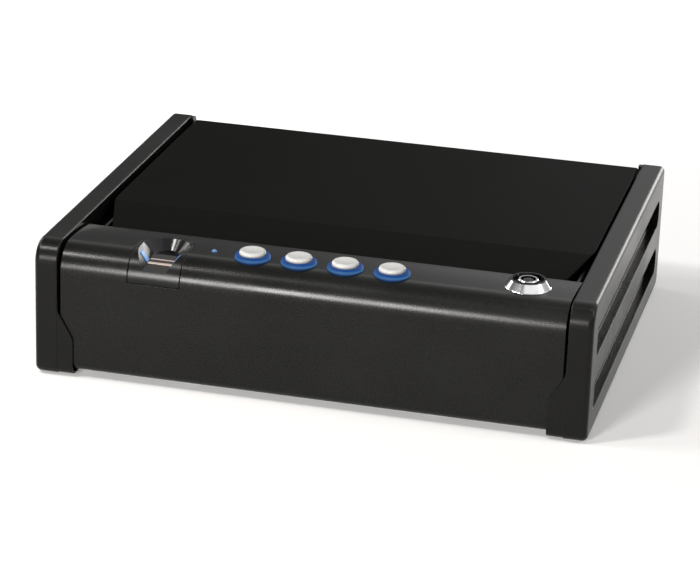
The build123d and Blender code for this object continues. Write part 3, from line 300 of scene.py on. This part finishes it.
def bezel_finish():
    """Fine satin outside, and polished inside the finger's recess."""
    tree, shader = material("bezel_plastic", (0.0040, 0.0040, 0.0042), 0.24, 0.22)
    satin, polish, uneven = 0.26, 0.12, 0.03
    grain = use(tree, GRAIN, Cells=2600.0, Height=0.03, Edge=0.0004)
    smudge = use(tree, SMUDGE, Patches=40.0)["Mask"]
    away = use(tree, RADIUS, Centre=SCOOP)["Radius"]
    inside = ramp(tree, away, *SCOOP_RIM_MM, 1.0, 0.0)
    rough = maths(tree, "SUBTRACT", satin, maths(tree, "MULTIPLY", inside, polish))
    feed(tree, shader, {
        "Normal": grain["Normal"],
        "Base Color": mixed(tree, smudge, (0.0025, 0.0025, 0.0025), (0.0045, 0.0045, 0.0046)),
        "Roughness": maths(tree, "ADD", rough, maths(tree, "MULTIPLY", smudge, uneven)),
    })


def button_finish():
    """Satin silver-white, with painted shade on the lower part of the button's wall."""
    tree, shader = coated("button_plastic", (0.50, 0.50, 0.49), (0.58, 0.58, 0.57),
                          rough=0.28, vary=0.03, specular=0.25, cells=2800.0, height=0.04)
    low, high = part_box("button_1")
    shade_full_below, shade_gone_above = (high[2] + height for height in BUTTON_WALL_SHADE)
    face = ramp(tree, axes(tree, point(tree))["Z"], shade_full_below, shade_gone_above)
    satin = shader["Base Color"].links[0].from_socket
    # Painted shade: the wall under the button's rim is made a deep grey.
    feed(tree, shader, {"Base Color": mixed(tree, face, (0.20, 0.19, 0.19), satin)})


def chrome(name, colour, roughness, height, dark=()):
    """Plated metal with faint turning marks, and darkened between each pair of radii in dark."""
    tree, shader = material(name, colour, roughness, 0.5, metallic=1.0)
    away = use(tree, RADIUS, Centre=LOCK)["Radius"]
    marks = use(tree, TURNED, Radius=away, Height=height)
    smudge = use(tree, SMUDGE, Patches=60.0)["Mask"]
    tint = mixed(tree, smudge, colour, tuple(part * CHROME_DULLER for part in colour))
    for low, high in dark:
        past_low = ramp(tree, away, low - BAND_EDGE_MM, low + BAND_EDGE_MM)
        before_high = ramp(tree, away, high - BAND_EDGE_MM, high + BAND_EDGE_MM, 1.0, 0.0)
        band = maths(tree, "MULTIPLY", past_low, before_high)
        tint = mixed(tree, band, tint, (0.012, 0.012, 0.012))
    feed(tree, shader, {
        "Normal": marks["Normal"],
        "Base Color": tint,
        "Roughness": ramp(tree, smudge, 0.0, 1.0, roughness, roughness + CHROME_ROUGHER),
    })


def sensor_finish():
    """The swipe sensor: a dark window between two pale metal rails."""
    tree, shader = material("sensor_face", (0.09, 0.07, 0.06), 0.25, 0.2)
    low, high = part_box("fingerprint_sensor")
    half = (high[1] - low[1]) / 2
    across = maths(tree, "SUBTRACT", axes(tree, point(tree))["Y"], middle(low, high)[1])
    rail_starts, rail_ends = (half * share for share in SENSOR_RAIL)
    rail = ramp(tree, maths(tree, "ABSOLUTE", across), rail_starts, rail_ends)
    feed(tree, shader, {"Base Color": mixed(tree, rail, (0.05, 0.037, 0.032), (0.52, 0.44, 0.40))})


def lit(name, colour, glow, strength, roughness, specular=0.3):
    """A translucent moulding that glows."""
    tree, shader = material(name, colour, roughness, specular)
    smudge = use(tree, SMUDGE, Patches=120.0)["Mask"]
    paler = tuple(part * GLOW_PALER for part in colour)
    feed(tree, shader, {"Base Color": mixed(tree, smudge, colour, paler),
                        "Emission Color": glow, "Emission Strength": strength})
    return tree, shader


def ring_finish(ring):
    """The glow of a button's ring: deep blue on top, paler down the wall, dim at its foot."""
    crown, wall, foot = (0.003, 0.048, 0.20), (0.042, 0.125, 0.28), (0.010, 0.035, 0.10)
    tree, shader = lit(RINGS[ring], (0.002, 0.008, 0.03), crown, 1.0, 0.5, specular=0.08)
    low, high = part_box(ring)
    below = maths(tree, "SUBTRACT", axes(tree, point(tree))["Z"], high[2])
    below_mm = maths(tree, "MULTIPLY", below, MM_PER_METRE)
    tone = mixed(tree, ramp(tree, below_mm, *RING_CROWN_MM), wall, crown)
    tone = mixed(tree, ramp(tree, below_mm, *RING_FOOT_MM), foot, tone)
    feed(tree, shader, {"Emission Color": tone})


def spill(tree, shader, colour, sources):
    """Light that leaves each lit node in sources and dies away over the plastic round it."""
    total = 0.0
    for name, (near, far) in sources.items():
        away = use(tree, RADIUS, Centre=middle(*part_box(name)))["Radius"]
        fade = ramp(tree, away, near, far, 1.0, 0.0)
        total = maths(tree, "ADD", total, maths(tree, "MULTIPLY", fade, fade))
    on_deck = ramp(tree, axes(tree, point(tree))["Z"], *DECK_HEIGHT)
    glow = mixed(tree, maths(tree, "MULTIPLY", total, on_deck), (0.0, 0.0, 0.0), colour)
    feed(tree, shader, {"Emission Color": glow, "Emission Strength": 1.0})


# Outside: the end caps, the housing with its spilled light, the lid, and what is set into the deck.
coated("cap_plastic", (0.0040, 0.0040, 0.0038), (0.0080, 0.0080, 0.0076),
       rough=0.26, vary=0.03, specular=0.14, cells=1400.0, height=0.09, edge=0.0006)
housing = coated("housing_plastic", (0.0035, 0.0035, 0.0032), (0.0075, 0.0075, 0.0070),
                 rough=0.24, vary=0.03, specular=0.19, cells=900.0, height=0.05, edge=0.0006)
spill(*housing, (0.004, 0.020, 0.055),
      {**dict.fromkeys(RINGS, RING_SPILL_MM), "status_led": LAMP_SPILL_MM})
coated("lid_paint", (0.0034, 0.0034, 0.0031), (0.0052, 0.0052, 0.0048),
       rough=0.36, vary=0.04, specular=0.01, cells=2600.0, height=0.08, patches=9.0, edge=0.0003)
bezel_finish()
button_finish()
sensor_finish()
# The keyway's hollow is painted in shade, and the band round it is darkened.
chrome("lock_chrome", (0.60, 0.60, 0.61), 0.12, 0.25, dark=LOCK_SHADE_AND_BAND_MM)
coated("lock_dark", (0.005, 0.005, 0.005), (0.009, 0.009, 0.009),
       rough=0.4, vary=0.05, specular=0.3, cells=2000.0, height=0.1)
for ring in RINGS:
    ring_finish(ring)
lit("guide_light", (0.05, 0.14, 0.34), (0.06, 0.22, 0.50), 0.75, 0.3)
lit("led_lens", (0.04, 0.08, 0.16), (0.09, 0.16, 0.36), 0.8, 0.3)

# Inside and beneath: the tray, the feet, the strut, the bolt work, the boards, cells and foam.
coated("body_paint", (0.012, 0.012, 0.012), (0.020, 0.020, 0.020),
       rough=0.45, vary=0.05, specular=0.3, cells=1900.0, height=0.4)
coated("holder_plastic", (0.035, 0.035, 0.038), (0.05, 0.05, 0.053),
       rough=0.45, vary=0.05, specular=0.45, cells=1700.0, height=0.3)
coated("rubber_black", (0.022, 0.022, 0.022), (0.035, 0.035, 0.035),
       rough=0.75, vary=0.08, specular=0.3, cells=1800.0, height=0.5)
coated("dome_rubber", (0.60, 0.61, 0.60), (0.68, 0.68, 0.66),
       rough=0.45, vary=0.05, specular=0.4, cells=1800.0, height=0.1)
coated("steel_bright", (0.46, 0.46, 0.47), (0.60, 0.60, 0.61),
       rough=0.30, vary=0.08, specular=0.5, cells=2600.0, height=0.12, metallic=1.0)
finishes["spring_steel"] = finishes["steel_bright"]
coated("strut_black", (0.02, 0.02, 0.02), (0.028, 0.028, 0.028),
       rough=0.2, vary=0.03, specular=0.5, cells=2600.0, height=0.03)
chrome("rod_steel", (0.62, 0.62, 0.64), 0.12, 0.1)
coated("board_green", (0.010, 0.085, 0.035), (0.018, 0.12, 0.05),
       rough=0.32, vary=0.05, specular=0.5, cells=900.0, height=0.15)
coated("cell_jacket", (0.03, 0.04, 0.06), (0.05, 0.06, 0.09),
       rough=0.3, vary=0.04, specular=0.5, cells=1200.0, height=0.05)
coated("coil_wrap", (0.16, 0.06, 0.015), (0.28, 0.12, 0.03),
       rough=0.35, vary=0.06, specular=0.5, cells=2600.0, height=0.3)
coated("contact_metal", (0.66, 0.50, 0.24), (0.76, 0.60, 0.32),
       rough=0.28, vary=0.05, specular=0.5, cells=2200.0, height=0.1, metallic=1.0)
coated("foam_grey", (0.035, 0.035, 0.037), (0.075, 0.075, 0.078),
       rough=0.92, vary=0.04, specular=0.15, cells=620.0, height=0.9, depth=0.0006)

for part in frame["record"]["subparts"]:
    finish = finishes[RINGS.get(part["node"], part["material_slot"])]
    for slot in nodes[part["node"]].material_slots:
        slot.material = finish


# ---- Foam ----
FOAM_VOXEL = 0.0019
FOAM_SMOOTHING, FOAM_SMOOTHINGS = 0.5, 5
FOAM_SKIN = 0.0025  # the depth that the unevenness reaches
FOAM_SUNK = 0.0005
FOAM_UNEVEN = ((0.0004, 34.0), (0.0002, 120.0))  # height, and how many to the metre


def foam_sheet(name, body, free_side):
    """A die-cut sheet in its solid's space, with rounded edges and a slightly uneven free face."""
    low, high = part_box(name)
    draft = put(name + "_draft", nodes[name].data.copy())
    even = draft.modifiers.new("even", "REMESH")
    even.mode, even.voxel_size = "VOXEL", FOAM_VOXEL
    soften = draft.modifiers.new("soften", "SMOOTH")
    soften.factor, soften.iterations = FOAM_SMOOTHING, FOAM_SMOOTHINGS
    finished = draft.evaluated_get(bpy.context.evaluated_depsgraph_get())
    mesh = bpy.data.meshes.new_from_object(finished)
    bpy.data.objects.remove(draft)
    face = high[2] if free_side > 0 else low[2]
    for vertex in mesh.vertices:
        near = max(0.0, 1.0 - abs(vertex.co.z - face) / FOAM_SKIN)
        sink = FOAM_SUNK
        for height, waves in FOAM_UNEVEN:
            sink += height * noise.noise(vertex.co * waves)
        vertex.co.z -= free_side * near * max(sink, 0.0)
        vertex.co = Vector([min(max(value, a), b) for value, a, b in zip(vertex.co, low, high)])
    mesh.shade_smooth()
    mesh.materials.clear()
    mesh.materials.append(finishes["foam_grey"])
    made = put(name + "_foam", mesh)
    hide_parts(name)
    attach(made, body)


foam_sheet("floor_pad", "case", 1.0)
foam_sheet("lid_liner", "lid", -1.0)


# ---- The status lamp's lens ----
DOME_RADIUS, DOME_RISE = 0.00138, 0.0013
DOME_SUNK, DOME_FOOT = 0.0006, 0.0002  # how deep the dome starts, and the straight wall under it
DOME_STEPS, DOME_SIDES = 7, 24


def lamp_lens():
    """The clear domed top of the status lamp, turned round its axis."""
    low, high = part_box("status_led")
    x, y, _ = middle(low, high)
    base = high[2] - DOME_SUNK
    profile = [(DOME_RADIUS, base - DOME_FOOT)]
    for step in range(DOME_STEPS):
        rise = math.pi / 2 * step / DOME_STEPS
        profile.append((DOME_RADIUS * math.cos(rise), base + DOME_RISE * math.sin(rise)))
    turns = [2 * math.pi * side / DOME_SIDES for side in range(DOME_SIDES)]
    shape = bmesh.new()
    rings = [[shape.verts.new((x + radius * math.cos(turn), y + radius * math.sin(turn), z))
              for turn in turns] for radius, z in profile]
    for under, over in zip(rings, rings[1:]):
        for side in range(DOME_SIDES):
            after = (side + 1) % DOME_SIDES
            shape.faces.new((under[side], under[after], over[after], over[side]))
    shape.faces.new(rings[-1])
    shape.faces.new(rings[0][::-1])
    bmesh.ops.recalc_face_normals(shape, faces=shape.faces)
    mesh = bpy.data.meshes.new("status_lens")
    shape.to_mesh(mesh)
    shape.free()
    mesh.shade_smooth()
    mesh.materials.append(finishes["led_lens"])
    made = put("status_lens", mesh)
    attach(made, "case")


lamp_lens()


# ---- Floor, backdrop and lamps ----
WHITE = (1.0, 1.0, 1.0)
FLOOR_GREY, FLOOR_SIZE = 0.82, 6.0
# Where a change starts and ends, and the strength at each: along Y on the floor, and by the
# direction's X and Z in the world.
FLOOR_GLOW = (-0.6, 1.4, 0.14, 0.62)
WORLD_TO_RIGHT = (-0.26, -0.11, 0.19, 0.70)
WORLD_UP = (0.36, 0.58, 1.0, 2.2)
WORLD_OVERHEAD = (0.78, 0.96, 1.0, 0.5)
WORLD_LIGHT = 0.06  # what the object gets from the world
LAMP_COLOUR = (1.0, 0.975, 0.945)  # a touch warm
DECK = (0.0, -0.10, 0.07)  # the middle of the deck
# Each soft lamp: where it stands, what it points at, its width and height, and its watts.
SOFTBOXES = {
    "key": ((-0.74, -0.72, 1.50), DECK, 0.20, 0.26, 12.0),
    "fill": ((-1.09, -0.34, 1.45), DECK, 0.40, 0.34, 7.5),
    "strip": ((-0.47, -1.95, 0.55), (0.0, -0.12, 0.07), 0.40, 0.48, 37.0),
    "left": ((-1.20, 0.62, 0.66), (0.0, -0.05, 0.07), 0.80, 0.62, 6.5),
    "right": ((1.20, -0.02, 0.80), (0.15, -0.10, 0.05), 0.26, 0.90, 4.0),
    "edge": ((0.75, 1.90, 0.36), (0.15, 0.0, 0.04), 0.80, 0.50, 9.0),
    "top": ((0.30, -0.14, 1.35), DECK, 0.22, 0.50, 1.8),
    "rear": ((-0.5, 1.75, 1.50), (0.0, 0.0, 0.07), 1.6, 0.8, 2.5),
}


def seen(tree):
    """1 for what the camera sees directly, in a mirror or through glass, and 0 for other light."""
    path = node(tree, "LightPath").outputs
    either = maths(tree, "MAXIMUM", path["Is Camera Ray"], path["Is Glossy Ray"])
    return maths(tree, "MAXIMUM", either, path["Is Transmission Ray"])


def floor():
    """White paper that keeps the object's shadow."""
    mesh = bpy.data.meshes.new("floor")
    shape = bmesh.new()
    bmesh.ops.create_grid(shape, x_segments=1, y_segments=1, size=FLOOR_SIZE)
    shape.to_mesh(mesh)
    shape.free()
    made = put("floor", mesh)
    tree, shader = material("floor_paper", (FLOOR_GREY,) * 3, 0.9, 0.0)
    paler_behind = ramp(tree, axes(tree, point(tree))["Y"], *FLOOR_GLOW)
    feed(tree, shader, {"Emission Color": WHITE,
                        "Emission Strength": maths(tree, "MULTIPLY", seen(tree), paler_behind)})
    mesh.materials.append(finishes["floor_paper"])


def world():
    """A studio that is seen pale to the right and above, and lights the object only a little."""
    made = bpy.data.worlds.new("studio")
    made.use_nodes = True
    tree = made.node_tree
    way = axes(tree, node(tree, "TexCoord").outputs["Generated"])
    pale = maths(tree, "MULTIPLY", ramp(tree, way["X"], *WORLD_TO_RIGHT),
                 ramp(tree, way["Z"], *WORLD_UP))
    pale = maths(tree, "MULTIPLY", pale, ramp(tree, way["Z"], *WORLD_OVERHEAD))
    strength = mixed(tree, seen(tree), WORLD_LIGHT, pale, kind="FLOAT")
    feed(tree, tree.nodes["Background"].inputs, {"Color": WHITE, "Strength": strength})
    scene.world = made


def softbox(name, place, target, width, height, watts):
    """A soft rectangular lamp at place that points at target."""
    lamp = bpy.data.lights.new(name, "AREA")
    lamp.color = LAMP_COLOUR
    lamp.shape = "RECTANGLE"
    lamp.size, lamp.size_y = width, height
    lamp.energy = watts
    made = put(name, lamp)
    made.location = place
    made.rotation_euler = (Vector(target) - Vector(place)).to_track_quat("-Z", "Y").to_euler()


floor()
world()
for name, settings in SOFTBOXES.items():
    softbox(name, *settings)
